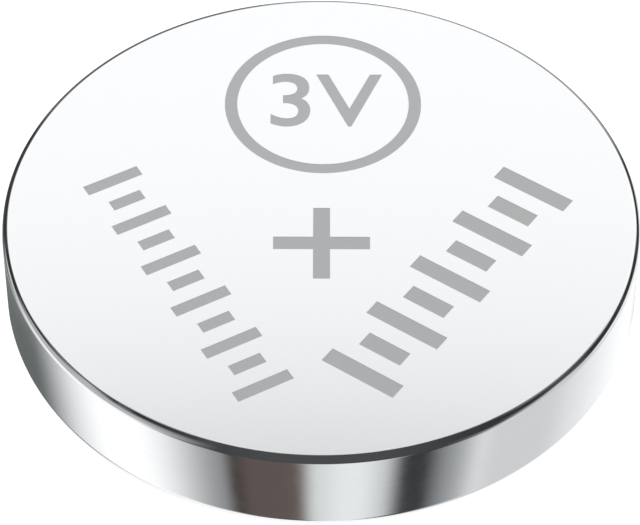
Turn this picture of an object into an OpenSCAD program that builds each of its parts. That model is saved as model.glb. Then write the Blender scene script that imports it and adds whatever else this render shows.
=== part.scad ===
// Lithium coin cell, 20 mm across and 3.2 mm high, drawn in millimetres.
// The cell lies on its negative face with its positive face up. The origin is the centre of
// the negative face, and +Z is the axis of the cell.
// Every piece is round, so each is turned from its half section. In a section, X is the radius
// from the axis and Y is the height above the negative face.

/* [Cell] */
// Diameter of the cell, over the can
cell_d = 20; // [18:0.1:24]
// Height of the cell, from face to face
cell_h = 3.2; // [2.8:0.1:5]

/* [Positive can] */
// Thickness of the can's sheet
can_t = 0.25; // [0.18:0.01:0.32]
// Outside radius between the positive face and the wall
can_edge_r = 0.2; // [0.1:0.01:0.3]
// Inside radius between the base and the wall
can_inner_r = 0.1; // [0.05:0.01:0.15]
// Inside radius of the curled lower edge
curl_r = 0.1; // [0.05:0.01:0.3]
// Width of the curled rim, from the wall's outside to the end of the lip
lip_w = 1.15; // [0.95:0.05:1.4]
// Radius on the outer edge of the lip's end
lip_edge_r = 0.08; // [0.04:0.01:0.12]
// Height of the curled rim above the negative face
rim_step = 0.1; // [0.05:0.01:0.2]

/* [Sealing gasket] */
// Thickness between the can's wall and the hem
gasket_wall = 0.5; // [0.4:0.02:0.6]
// Thickness between the can's base and the hem
gasket_floor = 0.4; // [0.25:0.05:0.6]
// Thickness between the can's lip and the shoulder
gasket_lip = 0.25; // [0.15:0.01:0.35]
// Width of the gasket that shows inside the can's lip
gasket_show = 0.3; // [0.2:0.05:0.45]
// Radius on the inner edge that shows
gasket_edge_r = 0.1; // [0.05:0.01:0.14]
// Clearance between the gasket's floor and the cathode ring
gasket_gap = 0.15; // [0.1:0.05:0.25]

/* [Negative cap] */
// Thickness of the cap's sheet
cap_t = 0.2; // [0.15:0.01:0.25]
// Width of the shoulder that shows between the gasket and the step
shoulder_show = 0.5; // [0.4:0.05:0.8]
// Outside radius round the contact face
face_r = 0.3; // [0.26:0.01:0.35]
// Outside radius between the step and the shoulder
step_r = 0.1; // [0.05:0.01:0.15]
// Outside radius between the shoulder and the skirt
shoulder_r = 0.3; // [0.26:0.01:0.35]
// Height of the hem's cut edge above the shoulder's bend
hem_foot = 0.3; // [0.2:0.05:0.5]
// Gap left inside the folded hem
hem_gap = 0.05; // [0.03:0.01:0.08]

/* [Cathode] */
// Clearance between the cathode ring and the cap's skirt
cathode_gap = 0.35; // [0.25:0.05:0.6]
// Radius round the pellet's lower edge
pellet_r = 0.15; // [0.05:0.01:0.2]
// Thickness of the ring's sheet
ring_t = 0.1; // [0.06:0.01:0.15]
// Height of the ring's wall
ring_h = 1; // [0.6:0.1:1.2]
// Width of the ring's flange
ring_w = 1; // [0.6:0.1:2]
// Inside radius of the ring's bend
ring_bend_r = 0.08; // [0.04:0.01:0.12]

/* [Separator] */
// Thickness of the separator
sep_t = 0.15; // [0.1:0.01:0.2]
// Clearance between the turned-up rim and the cathode ring
sep_gap = 0.1; // [0.05:0.05:0.2]

/* [Lithium anode] */
// Clearance between the disc's edge and the bend round the contact face
lithium_gap = 0.05; // [0.03:0.01:0.15]
// Radius round the disc's punched edges
lithium_edge_r = 0.05; // [0.02:0.01:0.08]

/* [Hidden] */
$fn = 180;

// The can, from the outside in
can_r = cell_d / 2;
can_in_r = can_r - can_t;
base_in_z = cell_h - can_t;
lip_in_z = rim_step + can_t;
lip_r = can_r - lip_w;

// The cap, placed by the gasket that lies between it and the can
hem_r = can_in_r - gasket_wall;
skirt_r = hem_r - cap_t - hem_gap;
skirt_in_r = skirt_r - cap_t;
shoulder_z = lip_in_z + gasket_lip;
gasket_lip_r = lip_r - gasket_show;
step_wall_r = gasket_lip_r - shoulder_show;

// The hem's fold is half a turn of sheet round the end of the gap inside it
fold_r = cap_t + hem_gap / 2;
fold_x = skirt_r + hem_gap / 2;
hem_top_z = base_in_z - gasket_floor;
fold_z = hem_top_z - fold_r;
hem_foot_z = shoulder_z + shoulder_r + hem_foot;

// The stack between the cap and the can's base
anode_top_z = shoulder_z + cap_t;
pellet_z = anode_top_z + sep_t;
lithium_r = step_wall_r - face_r - lithium_gap;
ring_r = skirt_in_r - cathode_gap;
pellet_wall_r = ring_r - ring_t;
ring_z = base_in_z - ring_h;
sep_rim_z = ring_z - sep_gap;
gasket_floor_r = ring_r + gasket_gap;

// Takes a corner off down to a radius. The arc's centre is at the origin, and dx and dy are
// 1 or -1 and say which way the corner points.
module corner_cut(r, dx, dy) {
    difference() {
        translate([min(0, dx) * 2 * r, min(0, dy) * 2 * r]) square(2 * r);
        circle(r);
    }
}

// Half section of a disc from z0 to z1, with its lower and upper edges rounded
module disc_section(r, z0, z1, low_r = 0, high_r = 0) {
    difference() {
        translate([0, z0]) square([r, z1 - z0]);
        if (low_r > 0) translate([r - low_r, z0 + low_r]) corner_cut(low_r, 1, -1);
        if (high_r > 0) translate([r - high_r, z1 - high_r]) corner_cut(high_r, 1, 1);
    }
}

// All that lies within the can's inner surface
module can_inside() {
    disc_section(can_in_r, lip_in_z, base_in_z, curl_r, can_inner_r);
}

// All that lies within the cap's outer surface, the gap in its hem with it
module cap_outside() {
    disc_section(step_wall_r, 0, anode_top_z, face_r);
    disc_section(skirt_r, shoulder_z, fold_z, shoulder_r);
    difference() {
        translate([step_wall_r, shoulder_z - step_r]) square(step_r);
        translate([step_wall_r + step_r, shoulder_z - step_r]) circle(step_r);
    }
    translate([skirt_in_r, hem_foot_z]) square([hem_r - skirt_in_r, fold_z - hem_foot_z]);
    translate([fold_x, fold_z]) circle(fold_r);
}

// All that lies within the cap's inner surface
module cap_inside() {
    disc_section(step_wall_r - cap_t, cap_t, fold_z, face_r - cap_t);
    disc_section(skirt_in_r, anode_top_z, hem_top_z, shoulder_r - cap_t);
    translate([step_wall_r + step_r, shoulder_z - step_r]) corner_cut(step_r + cap_t, -1, 1);
}

module positive_can() {
    color([0.84, 0.85, 0.86])
        rotate_extrude()
            difference() {
                disc_section(can_r, rim_step, cell_h, curl_r + can_t, can_edge_r);
                can_inside();
                square([lip_r, cell_h / 2]);
                translate([lip_r + lip_edge_r, rim_step + lip_edge_r])
                    corner_cut(lip_edge_r, -1, -1);
            }
}

module sealing_gasket() {
    color([0.16, 0.16, 0.17])
        rotate_extrude()
            difference() {
                can_inside();
                cap_outside();
                square([gasket_lip_r, shoulder_z]);
                translate([gasket_lip_r + gasket_edge_r, lip_in_z + gasket_edge_r])
                    corner_cut(gasket_edge_r, -1, -1);
                translate([0, fold_z]) square([fold_x, fold_r]);
                translate([0, fold_z]) square([gasket_floor_r, cell_h]);
            }
}

module negative_cap() {
    color([0.78, 0.79, 0.80])
        rotate_extrude()
            difference() {
                cap_outside();
                cap_inside();
                translate([skirt_r, shoulder_z]) square([hem_gap, fold_z - shoulder_z]);
                translate([fold_x, fold_z]) circle(d = hem_gap);
            }
}

module cathode_pellet() {
    color([0.20, 0.20, 0.21])
        rotate_extrude() {
            disc_section(pellet_wall_r, pellet_z, base_in_z - ring_t, pellet_r, ring_bend_r);
            disc_section(pellet_wall_r - ring_w, pellet_z + pellet_r, base_in_z);
        }
}

module cathode_ring() {
    color([0.70, 0.71, 0.72])
        rotate_extrude()
            difference() {
                disc_section(ring_r, ring_z, base_in_z, 0, ring_bend_r + ring_t);
                disc_section(pellet_wall_r, pellet_z, base_in_z - ring_t, 0, ring_bend_r);
                square([pellet_wall_r - ring_w, cell_h]);
            }
}

module separator() {
    color([0.93, 0.93, 0.90])
        rotate_extrude()
            difference() {
                disc_section(pellet_wall_r + sep_t, anode_top_z, sep_rim_z, pellet_r + sep_t);
                disc_section(pellet_wall_r, pellet_z, base_in_z, pellet_r);
            }
}

module lithium_anode() {
    color([0.72, 0.73, 0.75])
        rotate_extrude()
            disc_section(lithium_r, cap_t, anode_top_z, lithium_edge_r, lithium_edge_r);
}

positive_can();
sealing_gasket();
negative_cap();
cathode_pellet();
cathode_ring();
separator();
lithium_anode();
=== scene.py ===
import math

import bmesh
import bpy
from mathutils import Matrix, Vector


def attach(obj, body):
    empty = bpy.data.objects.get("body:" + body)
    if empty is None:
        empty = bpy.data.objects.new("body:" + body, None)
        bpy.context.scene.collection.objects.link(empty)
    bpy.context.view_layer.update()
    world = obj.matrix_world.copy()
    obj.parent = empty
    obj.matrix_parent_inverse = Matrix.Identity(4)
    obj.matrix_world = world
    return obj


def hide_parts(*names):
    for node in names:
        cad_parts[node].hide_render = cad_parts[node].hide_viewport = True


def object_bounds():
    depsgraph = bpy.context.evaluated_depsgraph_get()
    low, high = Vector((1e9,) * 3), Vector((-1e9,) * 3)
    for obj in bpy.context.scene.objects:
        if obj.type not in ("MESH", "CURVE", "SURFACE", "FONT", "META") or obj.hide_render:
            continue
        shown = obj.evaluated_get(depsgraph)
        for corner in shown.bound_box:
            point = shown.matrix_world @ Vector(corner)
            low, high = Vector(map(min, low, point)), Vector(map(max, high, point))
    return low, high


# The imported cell, which every piece below is fitted to. It lies on its negative face, with the
# origin at that face's centre and the plus sign reading upright from -Y.
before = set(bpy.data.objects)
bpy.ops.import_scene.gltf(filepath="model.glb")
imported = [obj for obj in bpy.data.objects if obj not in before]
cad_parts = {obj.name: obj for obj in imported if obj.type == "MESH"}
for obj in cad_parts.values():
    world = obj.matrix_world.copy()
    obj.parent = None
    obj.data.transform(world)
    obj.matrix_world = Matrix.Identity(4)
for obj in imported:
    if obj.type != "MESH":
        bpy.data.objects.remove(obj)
cad_low, cad_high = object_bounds()
MM = 0.001
CELL_RADIUS = cad_high.x / MM
CELL_HEIGHT = cad_high.z / MM


# Negative cap: one shallow dish pressed from nickel-plated steel strip. Its raised middle is the
# contact, a shoulder steps back from it, and the skirt's edge is folded up as a hem that stiffens
# the seal. The tool leaves it matt, with faint rolling grain.
TURN_STEPS = 360


def turned(section):
    """Spins a half section, given as (radius, height) corners, into a closed form."""
    bm = bmesh.new()
    corners = [bm.verts.new((radius, 0, height)) for radius, height in section]
    sides = [bm.edges.new(pair) for pair in zip(corners, corners[1:])]
    bmesh.ops.spin(
        bm, geom=corners + sides, cent=(0, 0, 0), axis=(0, 0, 1), dvec=(0, 0, 0),
        angle=math.tau, steps=TURN_STEPS, use_merge=True, use_duplicate=False,
    )
    bmesh.ops.remove_doubles(bm, verts=bm.verts, dist=1e-5)
    return bm


def on_ring(edge, corner):
    """True for an edge of the ring that one corner of the half section drew."""
    ends = [(math.hypot(v.co.x, v.co.y), v.co.z) for v in edge.verts]
    return all(math.dist(end, corner) < 1e-3 for end in ends)


def round_corners(bm, corners, radius, segments):
    """Rounds the rings that the given corners of the half section drew."""
    rings = [e for e in bm.edges if any(on_ring(e, corner) for corner in corners)]
    bmesh.ops.bevel(
        bm, geom=rings, offset=radius, offset_type="OFFSET", affect="EDGES",
        segments=segments, profile=0.5, material=-1, clamp_overlap=False,
    )


def made_piece(name, bm, node, materials):
    """Turns a bmesh in millimetres into a piece of the cell that stands for one CAD node."""
    bmesh.ops.recalc_face_normals(bm, faces=bm.faces)
    for face in bm.faces:
        level = abs(face.normal.z) >= 0.9999
        face.smooth = not level
    bmesh.ops.scale(bm, vec=(MM, MM, MM), verts=bm.verts)
    mesh = bpy.data.meshes.new(name)
    bm.to_mesh(mesh)
    bm.free()
    piece = bpy.data.objects.new(name, mesh)
    bpy.context.scene.collection.objects.link(piece)
    for material in materials:
        mesh.materials.append(material)
    evened = piece.modifiers.new("even_shading", "WEIGHTED_NORMAL")
    evened.weight = 100
    evened.keep_sharp = True
    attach(piece, "root")
    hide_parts(node)


def new_group(name, inputs, outputs):
    """Starts a shader node group with float inputs, given with their defaults, and outputs."""
    group = bpy.data.node_groups.new(name, "ShaderNodeTree")
    for label, value in inputs.items():
        socket = group.interface.new_socket(label, in_out="INPUT", socket_type="NodeSocketFloat")
        socket.default_value = value
    for label, kind in outputs.items():
        group.interface.new_socket(label, in_out="OUTPUT", socket_type=kind)
    return group, group.nodes.new("NodeGroupInput"), group.nodes.new("NodeGroupOutput")


def millimetres(tree):
    """The piece's own coordinates, in millimetres."""
    place = tree.nodes.new("ShaderNodeTexCoord")
    scaled = tree.nodes.new("ShaderNodeVectorMath")
    scaled.operation = "SCALE"
    scaled.inputs["Scale"].default_value = 1 / MM
    tree.links.new(place.outputs["Object"], scaled.inputs[0])
    return scaled.outputs["Vector"]


# A noise keeps to the middle of its range, so a mask is spread from these two values.
NOISE_LOW = 0.3
NOISE_HIGH = 0.7


def give_noise(group, noise, result):
    """Puts a noise out of its group, as it is for height and spread out as a mask."""
    spread = group.nodes.new("ShaderNodeMapRange")
    spread.inputs["From Min"].default_value = NOISE_LOW
    spread.inputs["From Max"].default_value = NOISE_HIGH
    group.links.new(noise.outputs["Fac"], spread.inputs["Value"])
    group.links.new(noise.outputs["Fac"], result.inputs["Height"])
    group.links.new(spread.outputs["Result"], result.inputs["Mask"])


def build_grain_group():
    """Even surface grain: fine noise, the same in every direction, as height and as a mask."""
    group, given, result = new_group(
        "surface_grain", {"Grains per mm": 20, "Detail": 3},
        {"Height": "NodeSocketFloat", "Mask": "NodeSocketFloat"})
    noise = group.nodes.new("ShaderNodeTexNoise")
    noise.inputs["Roughness"].default_value = 0.6
    group.links.new(millimetres(group), noise.inputs["Vector"])
    group.links.new(given.outputs["Grains per mm"], noise.inputs["Scale"])
    group.links.new(given.outputs["Detail"], noise.inputs["Detail"])
    give_noise(group, noise, result)
    return group


def build_lines_group():
    """Drawing lines: noise stretched along X, Y or Z by the counts per mm, as height and mask."""
    group, given, result = new_group(
        "tool_lines", {"Per mm in X": 1, "Per mm in Y": 1, "Per mm in Z": 1},
        {"Height": "NodeSocketFloat", "Mask": "NodeSocketFloat"})
    counts = group.nodes.new("ShaderNodeCombineXYZ")
    for axis in "XYZ":
        group.links.new(given.outputs[f"Per mm in {axis}"], counts.inputs[axis])
    stretched = group.nodes.new("ShaderNodeVectorMath")
    stretched.operation = "MULTIPLY"
    group.links.new(millimetres(group), stretched.inputs[0])
    group.links.new(counts.outputs["Vector"], stretched.inputs[1])
    noise = group.nodes.new("ShaderNodeTexNoise")
    noise.inputs["Scale"].default_value = 1
    noise.inputs["Detail"].default_value = 4
    noise.inputs["Roughness"].default_value = 0.65
    group.links.new(stretched.outputs["Vector"], noise.inputs["Vector"])
    give_noise(group, noise, result)
    return group


def new_material(name, **constants):
    """A material with one Principled shader, whose constants are set by socket name."""
    material = bpy.data.materials.new(name)
    material.use_nodes = True
    shader = material.node_tree.nodes["Principled BSDF"]
    for label, value in constants.items():
        shader.inputs[label.replace("_", " ")].default_value = value
    return material, material.node_tree, shader


def add_group(tree, group, **values):
    """Places a shared group in a material, with its own values."""
    node = tree.nodes.new("ShaderNodeGroup")
    node.node_tree = group
    for label, value in values.items():
        node.inputs[label.replace("_", " ")].default_value = value
    return node


def feed(tree, socket, value):
    """Sets a socket to a plain value, or links another node's output to it."""
    if isinstance(value, bpy.types.NodeSocket):
        tree.links.new(value, socket)
    else:
        socket.default_value = value


def mixed(tree, mask, low, high):
    """The colour that a mask runs from low to high, each an RGBA value or a node's output."""
    mix = tree.nodes.new("ShaderNodeMix")
    mix.data_type = "RGBA"
    for label, value in (("Factor_Float", mask), ("A_Color", low), ("B_Color", high)):
        feed(tree, next(s for s in mix.inputs if s.identifier == label), value)
    return next(s for s in mix.outputs if s.identifier == "Result_Color")


def blend_colour(tree, mask, low, high, shader):
    """Lets a mask run the base colour from one tone to another."""
    tree.links.new(mixed(tree, mask, (*low, 1), (*high, 1)), shader.inputs["Base Color"])


def blend_roughness(tree, mask, low, high, shader):
    """Lets a mask run the roughness from one value to another."""
    span = tree.nodes.new("ShaderNodeMapRange")
    span.inputs["To Min"].default_value = low
    span.inputs["To Max"].default_value = high
    tree.links.new(mask, span.inputs["Value"])
    tree.links.new(span.outputs["Result"], shader.inputs["Roughness"])


def add_bump(tree, height, shader, depth_mm):
    """Feeds a height to the shader's normal, with its full depth in millimetres."""
    bump = tree.nodes.new("ShaderNodeBump")
    bump.inputs["Distance"].default_value = depth_mm * MM
    bump.inputs["Strength"].default_value = 1
    tree.links.new(height, bump.inputs["Height"])
    tree.links.new(bump.outputs["Normal"], shader.inputs["Normal"])


surface_grain = build_grain_group()
tool_lines = build_lines_group()

cap_steel, tree, shader = new_material("matt_nickel_cap", Metallic=1.0)
grain = add_group(tree, surface_grain, Grains_per_mm=12)
lines = add_group(tree, tool_lines, Per_mm_in_X=0.5, Per_mm_in_Y=9, Per_mm_in_Z=9)
blend_colour(tree, lines.outputs["Mask"], (0.74, 0.75, 0.76), (0.81, 0.82, 0.83), shader)
blend_roughness(tree, grain.outputs["Mask"], 0.3, 0.42, shader)
add_bump(tree, lines.outputs["Height"], shader, depth_mm=0.004)

CAP_FACE_RADIUS = 8.05
CAP_SHOULDER_Z = 0.6
CAP_SHEET = 0.2
SKIRT_RADIUS = 9.0
HEM_RADIUS = 9.25
HEM_TOP_Z = 2.55
HEM_FOOT_Z = 1.2
HEM_GAP = 0.05
HEM_BEND = (HEM_RADIUS - SKIRT_RADIUS + CAP_SHEET) / 2
FACE_BEND = 0.3
STEP_BEND = 0.1
SHOULDER_BEND = 0.3
# A full round keeps this much of a flat in its middle, so that its two halves stay apart.
ROUND_FLAT = 1e-4
cap_section = [
    (0, 0),
    (CAP_FACE_RADIUS, 0),
    (CAP_FACE_RADIUS, CAP_SHOULDER_Z),
    (SKIRT_RADIUS, CAP_SHOULDER_Z),
    (SKIRT_RADIUS, HEM_TOP_Z - CAP_SHEET),
    (SKIRT_RADIUS + HEM_GAP, HEM_TOP_Z - CAP_SHEET),
    (SKIRT_RADIUS + HEM_GAP, HEM_FOOT_Z),
    (HEM_RADIUS, HEM_FOOT_Z),
    (HEM_RADIUS, HEM_TOP_Z),
    (SKIRT_RADIUS - CAP_SHEET, HEM_TOP_Z),
    (SKIRT_RADIUS - CAP_SHEET, CAP_SHOULDER_Z + CAP_SHEET),
    (CAP_FACE_RADIUS - CAP_SHEET, CAP_SHOULDER_Z + CAP_SHEET),
    (CAP_FACE_RADIUS - CAP_SHEET, CAP_SHEET),
    (0, CAP_SHEET),
]
cap = turned(cap_section)
round_corners(cap, [cap_section[1]], FACE_BEND, segments=10)
round_corners(cap, [cap_section[2]], STEP_BEND, segments=6)
round_corners(cap, [cap_section[3]], SHOULDER_BEND, segments=10)
round_corners(cap, cap_section[4:6], HEM_GAP / 2 - ROUND_FLAT, segments=6)
round_corners(cap, cap_section[8:10], HEM_BEND - ROUND_FLAT, segments=12)
round_corners(cap, [cap_section[10]], SHOULDER_BEND - CAP_SHEET, segments=6)
round_corners(cap, [cap_section[11]], STEP_BEND + CAP_SHEET, segments=10)
round_corners(cap, [cap_section[12]], FACE_BEND - CAP_SHEET, segments=6)
made_piece("pressed_cap", cap, "negative_cap", [cap_steel])


# Lithium anode: a disc punched from rolled lithium foil and pressed into the cap. The metal is soft
# and dull, streaked along the rolling direction, with grey bloom where dry air has touched it.
def finish_solid(node, material):
    """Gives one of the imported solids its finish."""
    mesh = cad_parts[node].data
    mesh.materials.clear()
    mesh.materials.append(material)


lithium_metal, tree, shader = new_material("rolled_lithium", Metallic=1.0)
streaks = add_group(tree, tool_lines, Per_mm_in_X=0.4, Per_mm_in_Y=7, Per_mm_in_Z=7)
bloom = add_group(tree, surface_grain, Grains_per_mm=0.7, Detail=5)
blend_colour(tree, bloom.outputs["Mask"], (0.66, 0.67, 0.7), (0.5, 0.5, 0.54), shader)
blend_roughness(tree, streaks.outputs["Mask"], 0.4, 0.6, shader)
add_bump(tree, streaks.outputs["Height"], shader, depth_mm=0.01)
finish_solid("lithium_anode", lithium_metal)


# Separator: a disc of white polypropylene nonwoven, its edge turned up round the pellet. The
# matted fibres lie in every direction and take up the electrolyte.
separator_fleece, tree, shader = new_material("nonwoven_fleece", Sheen_Weight=0.15)
fibres = add_group(tree, surface_grain, Grains_per_mm=9, Detail=6)
blend_colour(tree, fibres.outputs["Mask"], (0.72, 0.72, 0.69), (0.86, 0.86, 0.83), shader)
blend_roughness(tree, fibres.outputs["Mask"], 0.75, 0.95, shader)
add_bump(tree, fibres.outputs["Height"], shader, depth_mm=0.04)
finish_solid("separator", separator_fleece)


# Cathode: a dull black pellet of pressed manganese dioxide and graphite, held at its upper edge
# by an L-section ring of plain stainless strip that the press grips it with.
cathode_mass, tree, shader = new_material("pressed_dioxide")
powder = add_group(tree, surface_grain, Grains_per_mm=18, Detail=5)
blend_colour(tree, powder.outputs["Mask"], (0.02, 0.02, 0.022), (0.06, 0.06, 0.063), shader)
blend_roughness(tree, powder.outputs["Mask"], 0.7, 0.9, shader)
add_bump(tree, powder.outputs["Height"], shader, depth_mm=0.02)
finish_solid("cathode_pellet", cathode_mass)

ring_steel, tree, shader = new_material("stainless_strip", Metallic=1.0)
lines = add_group(tree, tool_lines, Per_mm_in_X=0.3, Per_mm_in_Y=0.3, Per_mm_in_Z=16)
blend_colour(tree, lines.outputs["Mask"], (0.64, 0.65, 0.66), (0.73, 0.74, 0.75), shader)
blend_roughness(tree, lines.outputs["Mask"], 0.28, 0.4, shader)
add_bump(tree, lines.outputs["Height"], shader, depth_mm=0.004)
finish_solid("cathode_ring", ring_steel)


# Sealing gasket: one moulded polypropylene ring between cap and can. A narrow band of it shows
# under the cell, between the can's lip and the cap's shoulder, with a soft moulded finish.
gasket_plastic, tree, shader = new_material("moulded_polypropylene")
texture = add_group(tree, surface_grain, Grains_per_mm=14, Detail=2)
blend_colour(tree, texture.outputs["Mask"], (0.042, 0.042, 0.047), (0.058, 0.058, 0.063), shader)
blend_roughness(tree, texture.outputs["Mask"], 0.42, 0.55, shader)
add_bump(tree, texture.outputs["Height"], shader, depth_mm=0.006)

CAN_SHEET = 0.25
RIM_STEP = 0.1
LIP_Z = RIM_STEP + CAN_SHEET
BASE_Z = CELL_HEIGHT - CAN_SHEET
CAN_BORE = CELL_RADIUS - CAN_SHEET
GASKET_LIP_RADIUS = 8.55
GASKET_FLOOR_RADIUS = 8.6
GASKET_EDGE = 0.1
CAN_INNER_BEND = 0.1
gasket_section = [
    (GASKET_LIP_RADIUS, LIP_Z),
    (CAN_BORE, LIP_Z),
    (CAN_BORE, BASE_Z),
    (GASKET_FLOOR_RADIUS, BASE_Z),
    (GASKET_FLOOR_RADIUS, HEM_TOP_Z),
    (HEM_RADIUS, HEM_TOP_Z),
    (HEM_RADIUS, HEM_FOOT_Z),
    (SKIRT_RADIUS, HEM_FOOT_Z),
    (SKIRT_RADIUS, CAP_SHOULDER_Z),
    (GASKET_LIP_RADIUS, CAP_SHOULDER_Z),
    (GASKET_LIP_RADIUS, LIP_Z),
]
gasket = turned(gasket_section)
round_corners(gasket, [gasket_section[0]], GASKET_EDGE, segments=6)
round_corners(gasket, [gasket_section[1]], CAN_INNER_BEND, segments=6)
round_corners(gasket, [gasket_section[2]], CAN_INNER_BEND, segments=6)
round_corners(gasket, [gasket_section[5]], HEM_BEND, segments=8)
round_corners(gasket, [gasket_section[8]], SHOULDER_BEND, segments=10)
made_piece("moulded_gasket", gasket, "sealing_gasket", [gasket_plastic])


# Positive can: one cup deep-drawn from nickel-plated stainless strip. The wall keeps the die's
# bright polish and its fine drawing lines, the face is satin, and the mouth is curled in over the
# gasket. The marks are etched a few thousandths of a millimetre deep and left matt.
bright_nickel, tree, shader = new_material("bright_drawn_nickel", Metallic=1.0)
lines = add_group(tree, tool_lines, Per_mm_in_X=0.12, Per_mm_in_Y=0.12, Per_mm_in_Z=7)
grain = add_group(tree, surface_grain, Grains_per_mm=1.5, Detail=4)
blend_colour(tree, lines.outputs["Mask"], (0.838, 0.845, 0.85), (0.856, 0.861, 0.866), shader)
blend_roughness(tree, grain.outputs["Mask"], 0.09, 0.13, shader)
add_bump(tree, lines.outputs["Height"], shader, depth_mm=0.0009)

satin_nickel, tree, shader = new_material("satin_nickel_face", Metallic=1.0)
grain = add_group(tree, surface_grain, Grains_per_mm=16, Detail=3)
blend_colour(tree, grain.outputs["Mask"], (0.85, 0.854, 0.862), (0.862, 0.866, 0.874), shader)
blend_roughness(tree, grain.outputs["Mask"], 0.155, 0.185, shader)
add_bump(tree, grain.outputs["Height"], shader, depth_mm=0.0001)

etched_nickel, tree, shader = new_material("etched_marks", Metallic=1.0)
grain = add_group(tree, surface_grain, Grains_per_mm=22, Detail=4)
blend_colour(tree, grain.outputs["Mask"], (0.47, 0.472, 0.475), (0.51, 0.512, 0.515), shader)
blend_roughness(tree, grain.outputs["Mask"], 0.4, 0.46, shader)
add_bump(tree, grain.outputs["Height"], shader, depth_mm=0.0015)

CAN_EDGE = 0.2
CURL_BEND = CAN_SHEET + CAN_INNER_BEND
LIP_RADIUS = 8.85
LIP_EDGE = 0.08
can_section = [
    (0, CELL_HEIGHT),
    (CELL_RADIUS, CELL_HEIGHT),
    (CELL_RADIUS, RIM_STEP),
    (LIP_RADIUS, RIM_STEP),
    (LIP_RADIUS, LIP_Z),
    (CAN_BORE, LIP_Z),
    (CAN_BORE, BASE_Z),
    (0, BASE_Z),
]
can = turned(can_section)
round_corners(can, [can_section[1]], CAN_EDGE, segments=14)
round_corners(can, [can_section[2]], CURL_BEND, segments=16)
round_corners(can, [can_section[3]], LIP_EDGE, segments=6)
round_corners(can, [can_section[5]], CAN_INNER_BEND, segments=6)
round_corners(can, [can_section[6]], CAN_INNER_BEND, segments=6)

# The marks' sizes, and their places from the cell's axis
PLUS_CENTRE = (0.01, -1.19)
PLUS_SPAN = 3.02
PLUS_BAR = 0.53
RING_CENTRE = (0.045, 5.02)
RING_OUTER = 3.17
RING_INNER = 2.77
NUMERAL_SIZE = 3.4
NUMERAL_WEIGHT = 0.03
LEFT_SCALE = {
    "start": (-6.6, 1.49), "end": (-1.74, -7.07), "count": 11, "lengths": (1.9, 1.1), "width": 0.42}
RIGHT_SCALE = {
    "start": (1.25, -6.56), "end": (6.69, 1.18), "count": 9, "lengths": (2.6, 1.5), "width": 0.58}
ETCH_DEPTH = 0.005


def flat_on_face(bm, centre, turn=0.0):
    """Lays a flat mark, drawn round the origin, on the can's face."""
    place = Matrix.Translation((*centre, CELL_HEIGHT)) @ Matrix.Rotation(turn, 4, "Z")
    bmesh.ops.transform(bm, matrix=place, verts=bm.verts)
    return bm


def plus_mark():
    """The polarity sign: a square whose four sides are drawn out into bars."""
    bm = bmesh.new()
    bmesh.ops.create_grid(bm, x_segments=1, y_segments=1, size=PLUS_BAR / 2)
    reach = (PLUS_SPAN - PLUS_BAR) / 2
    for side in list(bm.edges):
        middle = (side.verts[0].co + side.verts[1].co) / 2
        arm = bmesh.ops.extrude_edge_only(bm, edges=[side])["geom"]
        ends = [v for v in arm if isinstance(v, bmesh.types.BMVert)]
        bmesh.ops.translate(bm, vec=middle.normalized() * reach, verts=ends)
    return flat_on_face(bm, PLUS_CENTRE)


def ring_mark():
    """A plain ring between two circles."""
    bm = bmesh.new()
    for radius in (RING_OUTER, RING_INNER):
        bmesh.ops.create_circle(bm, cap_ends=False, radius=radius, segments=144)
    bmesh.ops.bridge_loops(bm, edges=bm.edges)
    return flat_on_face(bm, RING_CENTRE)


def voltage_mark():
    """The cell's voltage in plain characters, within the ring."""
    curve = bpy.data.curves.new("numerals", "FONT")
    curve.body = "3V"
    curve.size = NUMERAL_SIZE
    curve.offset = NUMERAL_WEIGHT
    curve.align_x = "CENTER"
    curve.align_y = "CENTER"
    curve.resolution_u = 6
    source = bpy.data.objects.new("numerals", curve)
    mesh = bpy.data.meshes.new_from_object(source)
    bm = bmesh.new()
    bm.from_mesh(mesh)
    bpy.data.objects.remove(source)
    bpy.data.curves.remove(curve)
    bpy.data.meshes.remove(mesh)
    bmesh.ops.remove_doubles(bm, verts=bm.verts, dist=1e-4)
    return flat_on_face(bm, RING_CENTRE)


def bar_row(start, end, count, lengths, width):
    """A plain scale: bars that lie across the line from start to end, long and short by turns."""
    start, end = Vector(start), Vector(end)
    turn = math.atan2(end.y - start.y, end.x - start.x) + math.pi / 2
    bars = []
    for step in range(count):
        bar = bmesh.new()
        bmesh.ops.create_grid(bar, x_segments=1, y_segments=1, size=0.5)
        bmesh.ops.scale(bar, vec=(lengths[step % 2], width, 1), verts=bar.verts)
        bars.append(flat_on_face(bar, start.lerp(end, step / (count - 1)), turn))
    return bars


def take_in(bm, part):
    """Adds a mark's faces to the can's mesh and returns them."""
    before = set(bm.faces)
    mesh = bpy.data.meshes.new("mark")
    part.to_mesh(mesh)
    part.free()
    bm.from_mesh(mesh)
    bpy.data.meshes.remove(mesh)
    return [face for face in bm.faces if face not in before]


def sink(bm, faces):
    """Sinks a mark's flat faces below the can's face and leaves its outline open at the top."""
    sunk = bmesh.ops.extrude_face_region(bm, geom=faces, use_keep_orig=True)["geom"]
    floor = [v for v in sunk if isinstance(v, bmesh.types.BMVert)]
    bmesh.ops.translate(bm, vec=(0, 0, -ETCH_DEPTH), verts=floor)
    bmesh.ops.delete(bm, geom=faces, context="FACES")


def on_top(face):
    """True for a face that lies in the plane of the can's flat face."""
    return all(abs(v.co.z - CELL_HEIGHT) < 1e-4 for v in face.verts)


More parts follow.
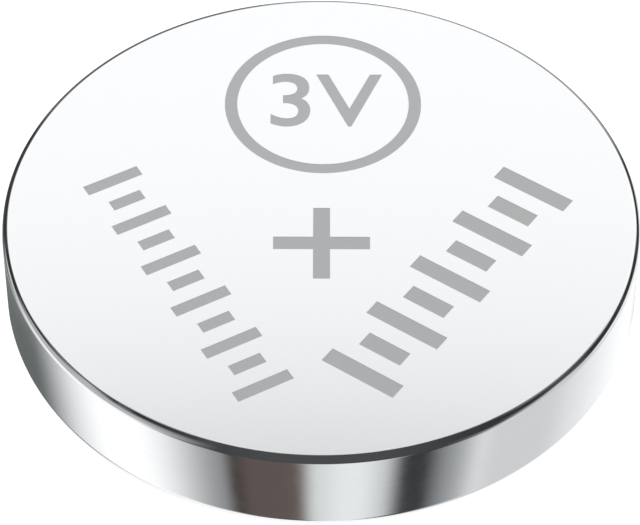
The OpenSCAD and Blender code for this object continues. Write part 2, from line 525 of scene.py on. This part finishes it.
# The flat face is opened, each mark is sunk in the opening, and the rest is filled round them.
BRIGHT, SATIN, ETCHED = range(3)
bmesh.ops.delete(can, geom=[face for face in can.faces if on_top(face)], context="FACES")
drawn_faces = set(can.faces)
marks = [plus_mark(), ring_mark(), *bar_row(**LEFT_SCALE), *bar_row(**RIGHT_SCALE), voltage_mark()]
for mark in marks:
    sink(can, take_in(can, mark))
for face in can.faces:
    face.material_index = BRIGHT if face in drawn_faces else ETCHED
rim = [e for e in can.edges if e.is_boundary]
bmesh.ops.triangle_fill(can, use_beauty=True, use_dissolve=False, edges=rim, normal=(0, 0, 1))
for face in can.faces:
    if on_top(face):
        face.material_index = SATIN
made_piece(
    "drawn_can", can, "positive_can", [bright_nickel, satin_nickel, etched_nickel])


# Studio: a white table, two soft lamps over it, and the room that the polished metal mirrors. The
# room's cards are soft-edged fields of the world, so they stay put from every side.
def new_math(tree, operation, *values):
    """A Math node whose inputs are numbers or other nodes' outputs."""
    node = tree.nodes.new("ShaderNodeMath")
    node.operation = operation
    for socket, value in zip(node.inputs, values):
        feed(tree, socket, value)
    return node.outputs["Value"]


def ramp(tree, value, start, end):
    """Runs smoothly from 0 at start to 1 at end, where start may be the larger."""
    node = tree.nodes.new("ShaderNodeMapRange")
    node.interpolation_type = "SMOOTHSTEP"
    for label, source in (("Value", value), ("From Min", start), ("From Max", end)):
        tree.links.new(source, node.inputs[label])
    return node.outputs["Result"]


def build_card_group():
    """One card: a soft-edged field round a heading and between two heights, in degrees."""
    group, given, result = new_group("studio_card", {
        "Heading": 0, "Height": 0, "Centre": 0, "Half width": 20, "Side blur": 10,
        "Bottom": -90, "Top": 90, "End blur": 10,
    }, {"Colour": "NodeSocketColor"})
    for label in ("Behind", "Card"):
        group.interface.new_socket(label, in_out="INPUT", socket_type="NodeSocketColor")
    value = given.outputs
    aside = new_math(group, "SUBTRACT", value["Heading"], value["Centre"])
    aside = new_math(group, "ABSOLUTE", new_math(group, "WRAP", aside, 180, -180))
    half_side = new_math(group, "MULTIPLY", value["Side blur"], 0.5)
    half_end = new_math(group, "MULTIPLY", value["End blur"], 0.5)
    within = ramp(group, aside, new_math(group, "ADD", value["Half width"], half_side),
                  new_math(group, "SUBTRACT", value["Half width"], half_side))
    above = ramp(group, value["Height"], new_math(group, "SUBTRACT", value["Bottom"], half_end),
                 new_math(group, "ADD", value["Bottom"], half_end))
    below = ramp(group, value["Height"], new_math(group, "ADD", value["Top"], half_end),
                 new_math(group, "SUBTRACT", value["Top"], half_end))
    mask = new_math(group, "MULTIPLY", within, new_math(group, "MULTIPLY", above, below))
    shown = mixed(group, mask, value["Behind"], value["Card"])
    group.links.new(shown, result.inputs["Colour"])
    return group


# Heading, half width and side blur, then bottom, top and end blur, in degrees, and the colour.
# Heading 0 is -Y, and +90 is +X. Each card hides those before it.
CARDS = [
    ((0, 180, 1), (60, 99, 16), (0.8, 0.805, 0.81)),
    ((0, 75, 40), (2, 62, 20), (0.84, 0.845, 0.85)),
    ((180, 60, 40), (-4, 60, 10), (1.175, 1.18, 1.185)),
    ((180, 60, 40), (51, 62, 3), (0.22, 0.225, 0.23)),
    ((-81, 36, 20), (-2, 60, 18), (0.52, 0.525, 0.53)),
    ((80, 14, 18), (-66, 27, 26), (0.66, 0.67, 0.68)),
    ((72, 40, 72), (-78, -4, 12), (0.7, 0.71, 0.72)),
    ((-148, 39, 44), (-40, -8, 14), (0.37, 0.39, 0.385)),
    ((-148, 39, 44), (-64, -43, 10), (0.135, 0.15, 0.147)),
    ((-78, 12, 12), (-64, -38, 8), (1.19, 1.19, 1.19)),
    ((-30.5, 20, 34), (-78, -6, 8), (0.3, 0.31, 0.315)),
    ((8, 15, 16), (-78, -6, 8), (0.92, 0.94, 0.95)),
    ((-3, 7, 12), (-78, -6, 8), (0.76, 0.79, 0.79)),
    ((36, 16, 14), (-78, -6, 8), (0.6, 0.62, 0.63)),
    ((44, 8, 26), (-78, -6, 8), (0.23, 0.24, 0.245)),
    ((61, 3, 10), (-78, -6, 8), (0.8, 0.81, 0.82)),
    ((34.5, 7.5, 9), (-78, -6, 8), (0.04, 0.042, 0.045)),
    ((-19, 14, 8), (-78, -6, 8), (0.125, 0.098, 0.09)),
    ((-31, 2, 7), (-78, -6, 8), (0.035, 0.03, 0.028)),
    ((170, 26, 14), (-40, -4, 6), (0.28, 0.285, 0.29)),
]
world = bpy.data.worlds.new("studio")
bpy.context.scene.world = world
world.use_nodes = True
tree = world.node_tree
direction = tree.nodes.new("ShaderNodeTexCoord").outputs["Generated"]
parts = tree.nodes.new("ShaderNodeSeparateXYZ")
tree.links.new(direction, parts.inputs[0])
towards = new_math(tree, "MULTIPLY", parts.outputs["Y"], -1)
heading = new_math(tree, "DEGREES", new_math(tree, "ARCTAN2", parts.outputs["X"], towards))
height = new_math(tree, "DEGREES", new_math(tree, "ARCSINE", parts.outputs["Z"]))
room = tree.nodes.new("ShaderNodeRGB").outputs[0]
room.default_value = (1.1, 1.11, 1.12, 1)
card_group = build_card_group()
for (centre, half_width, side_blur), (bottom, top, end_blur), colour in CARDS:
    card = add_group(tree, card_group, Centre=centre, Half_width=half_width, Side_blur=side_blur,
                     Bottom=bottom, Top=top, End_blur=end_blur, Card=(*colour, 1))
    tree.links.new(heading, card.inputs["Heading"])
    tree.links.new(height, card.inputs["Height"])
    tree.links.new(room, card.inputs["Behind"])
    room = card.outputs["Colour"]
camera_ray = tree.nodes.new("ShaderNodeLightPath").outputs["Is Camera Ray"]
seen = mixed(tree, camera_ray, room, (1, 1, 1, 1))
tree.links.new(seen, tree.nodes["Background"].inputs["Color"])

# The table takes the cell's shadow and is otherwise a plain white ground: it is clear from below,
# lights nothing, and the metal doesn't mirror it.
TABLE_RADIUS = 0.6
TABLE_GLOW = 0.82
table_white = bpy.data.materials.new("white_table")
table_white.use_nodes = True
tree = table_white.node_tree
tree.nodes.remove(tree.nodes["Principled BSDF"])
matt = tree.nodes.new("ShaderNodeBsdfDiffuse")
matt.inputs["Color"].default_value = (0.3, 0.3, 0.3, 1)
glow = tree.nodes.new("ShaderNodeEmission")
glow.inputs["Strength"].default_value = TABLE_GLOW
both = tree.nodes.new("ShaderNodeAddShader")
tree.links.new(matt.outputs[0], both.inputs[0])
tree.links.new(glow.outputs[0], both.inputs[1])
clear = tree.nodes.new("ShaderNodeBsdfTransparent")
sided = tree.nodes.new("ShaderNodeMixShader")
tree.links.new(tree.nodes.new("ShaderNodeNewGeometry").outputs["Backfacing"], sided.inputs[0])
tree.links.new(both.outputs[0], sided.inputs[1])
tree.links.new(clear.outputs[0], sided.inputs[2])
tree.links.new(sided.outputs[0], tree.nodes["Material Output"].inputs["Surface"])

top = bmesh.new()
bmesh.ops.create_circle(top, cap_ends=True, radius=TABLE_RADIUS, segments=96)
mesh = bpy.data.meshes.new("table")
top.to_mesh(mesh)
top.free()
mesh.materials.append(table_white)
table = bpy.data.objects.new("table", mesh)
bpy.context.scene.collection.objects.link(table)
table.visible_glossy = False
table.visible_diffuse = False
table.visible_transmission = False
table.visible_shadow = False

# A black flag stands close round the edge between face and wall, as flags do when polished metal is
# photographed, and is seen only in the metal. It fades out towards both sides and the wall: each
# shade gives its heading, half width and blur, then its start, end and blur round the edge, all in
# degrees, and what it lets through.
FLAG_GAP = 0.05
FLAG_SHADES = [
    ((180, 80, 30), (20, 84, 16), 0.35),
    ((-136, 34, 20), (14, 90, 14), 0.1),
    ((-92, 20, 14), (57, 92, 16), 0.3),
    ((-106, 18, 16), (46, 92, 18), 0.2),
    ((-98, 18, 12), (14, 63, 16), 0.01),
    ((-76, 11, 15), (10, 46, 12), 0.0),
    ((-62, 11, 15), (8, 29, 8), 0.0),
    ((-43, 13, 8), (4, 16, 6), 0.43),
    ((-39, 3, 8), (2, 30, 23), 0.0),
    ((94, 16, 14), (26, 64, 12), 0.0),
    ((75, 10, 12), (17, 57, 12), 0.0),
    ((61, 10, 10), (12, 54, 12), 0.0),
    ((53, 5, 6), (15, 44, 18), 0.0),
    ((42, 12, 6), (10, 44, 17), 0.04),
    ((38, 6, 10), (17, 50, 32), 0.0),
    ((-28, 9, 7), (-9, 33, 27), 0.0),
    ((22, 16, 16), (-6, 71, 20), 0.0),
    ((1, 27, 19), (-14, 88, 4), 0.0),
]
flag_black = bpy.data.materials.new("black_flag")
flag_black.use_nodes = True
tree = flag_black.node_tree
tree.nodes.remove(tree.nodes["Principled BSDF"])
parts = tree.nodes.new("ShaderNodeSeparateXYZ")
tree.links.new(millimetres(tree), parts.inputs[0])
across, along, up = parts.outputs
towards = new_math(tree, "MULTIPLY", along, -1)
heading = new_math(tree, "DEGREES", new_math(tree, "ARCTAN2", across, towards))
across_squared = new_math(tree, "MULTIPLY", across, across)
along_squared = new_math(tree, "MULTIPLY", along, along)
reach = new_math(tree, "SQRT", new_math(tree, "ADD", across_squared, along_squared))
out = new_math(tree, "SUBTRACT", reach, CELL_RADIUS - CAN_EDGE)
above = new_math(tree, "SUBTRACT", up, CELL_HEIGHT - CAN_EDGE)
round_edge = new_math(tree, "DEGREES", new_math(tree, "ARCTAN2", out, above))
clear = tree.nodes.new("ShaderNodeRGB").outputs[0]
clear.default_value = (1, 1, 1, 1)
for (centre, half_width, side_blur), (bottom, top, end_blur), through in FLAG_SHADES:
    grey = (through, through, through, 1)
    card = add_group(tree, card_group, Centre=centre, Half_width=half_width, Side_blur=side_blur,
                     Bottom=bottom, Top=top, End_blur=end_blur, Card=grey)
    tree.links.new(heading, card.inputs["Heading"])
    tree.links.new(round_edge, card.inputs["Height"])
    tree.links.new(clear, card.inputs["Behind"])
    clear = card.outputs["Colour"]

# The flag's black is paler in front than at the sides, painted light for the table's light falling
# on its front, and darkens between these two headings.
LIT_FRONT_BLACK = (0.068, 0.071, 0.074, 1)
SIDE_BLACK = (0.026, 0.027, 0.028, 1)
FRONT_END = 10
SIDE_START = 34
dark = tree.nodes.new("ShaderNodeEmission")
aside = tree.nodes.new("ShaderNodeMapRange")
aside.inputs["From Min"].default_value = FRONT_END
aside.inputs["From Max"].default_value = SIDE_START
tree.links.new(new_math(tree, "ABSOLUTE", heading), aside.inputs["Value"])
tree.links.new(mixed(tree, aside.outputs["Result"], LIT_FRONT_BLACK, SIDE_BLACK), dark.inputs["Color"])
faded = tree.nodes.new("ShaderNodeMixShader")
tree.links.new(clear, faded.inputs[0])
tree.links.new(dark.outputs[0], faded.inputs[1])
tree.links.new(tree.nodes.new("ShaderNodeBsdfTransparent").outputs[0], faded.inputs[2])
tree.links.new(faded.outputs[0], tree.nodes["Material Output"].inputs["Surface"])

FLAG_BEND = CAN_EDGE + FLAG_GAP
FLAG_ARC = range(-20, 96, 5)
flag_mesh = bmesh.new()
corners = []
for turn in FLAG_ARC:
    radius = CELL_RADIUS - CAN_EDGE + FLAG_BEND * math.sin(math.radians(turn))
    above = CELL_HEIGHT - CAN_EDGE + FLAG_BEND * math.cos(math.radians(turn))
    corners.append(flag_mesh.verts.new((radius, 0, above)))
sides = [flag_mesh.edges.new(pair) for pair in zip(corners, corners[1:])]
bmesh.ops.spin(
    flag_mesh, geom=corners + sides, cent=(0, 0, 0), axis=(0, 0, 1), dvec=(0, 0, 0),
    angle=math.tau, steps=240, use_merge=True, use_duplicate=False,
)
bmesh.ops.scale(flag_mesh, vec=(MM, MM, MM), verts=flag_mesh.verts)
mesh = bpy.data.meshes.new("edge_flag")
flag_mesh.to_mesh(mesh)
flag_mesh.free()
mesh.materials.append(flag_black)
flag = bpy.data.objects.new("edge_flag", mesh)
bpy.context.scene.collection.objects.link(flag)
flag.visible_camera = False
flag.visible_diffuse = False
flag.visible_transmission = False
flag.visible_shadow = False

# Each lamp's place and width in metres and its power in watts. Both face the cell.
LAMPS = {
    "key_lamp": ((-0.08, 0.06, 0.22), 0.16, 0.35),
    "fill_lamp": ((0.14, -0.12, 0.16), 0.2, 0.12),
}
for name, (place, width, power) in LAMPS.items():
    data = bpy.data.lights.new(name, "AREA")
    data.shape = "DISK"
    data.size = width
    data.energy = power
    lamp = bpy.data.objects.new(name, data)
    place = Matrix.Translation(place)
    lamp.matrix_world = place @ place.translation.to_track_quat("Z", "Y").to_matrix().to_4x4()
    lamp.visible_glossy = False
    bpy.context.scene.collection.objects.link(lamp)

# The camera looks down at the middle of the cell from the side where the plus sign reads upright.
# Its distance and its shift aside and upwards are in millimetres.
ELEVATION = math.radians(47.02)
ROLL = math.radians(0.16)
DISTANCE = 111.6
ASIDE = -0.037
LIFT = -0.388
PHOTO_WIDTH = 640
FOCAL_PIXELS = 3522
aim = Matrix.Translation((0, 0, CELL_HEIGHT / 2 * MM))
tilt = Matrix.Rotation(math.pi / 2 - ELEVATION, 4, "X")
stand = Matrix.Translation((ASIDE * MM, LIFT * MM, DISTANCE * MM))
view = aim @ tilt @ stand @ Matrix.Rotation(ROLL, 4, "Z")
lens = bpy.data.cameras.new("camera")
lens.sensor_width = 36
lens.lens = FOCAL_PIXELS / PHOTO_WIDTH * lens.sensor_width
lens.clip_start = 0.001
lens.clip_end = 10
camera = bpy.data.objects.new("camera", lens)
camera.matrix_world = view
bpy.context.scene.collection.objects.link(camera)
bpy.context.scene.camera = camera
bpy.context.scene.view_settings.view_transform = "Standard"
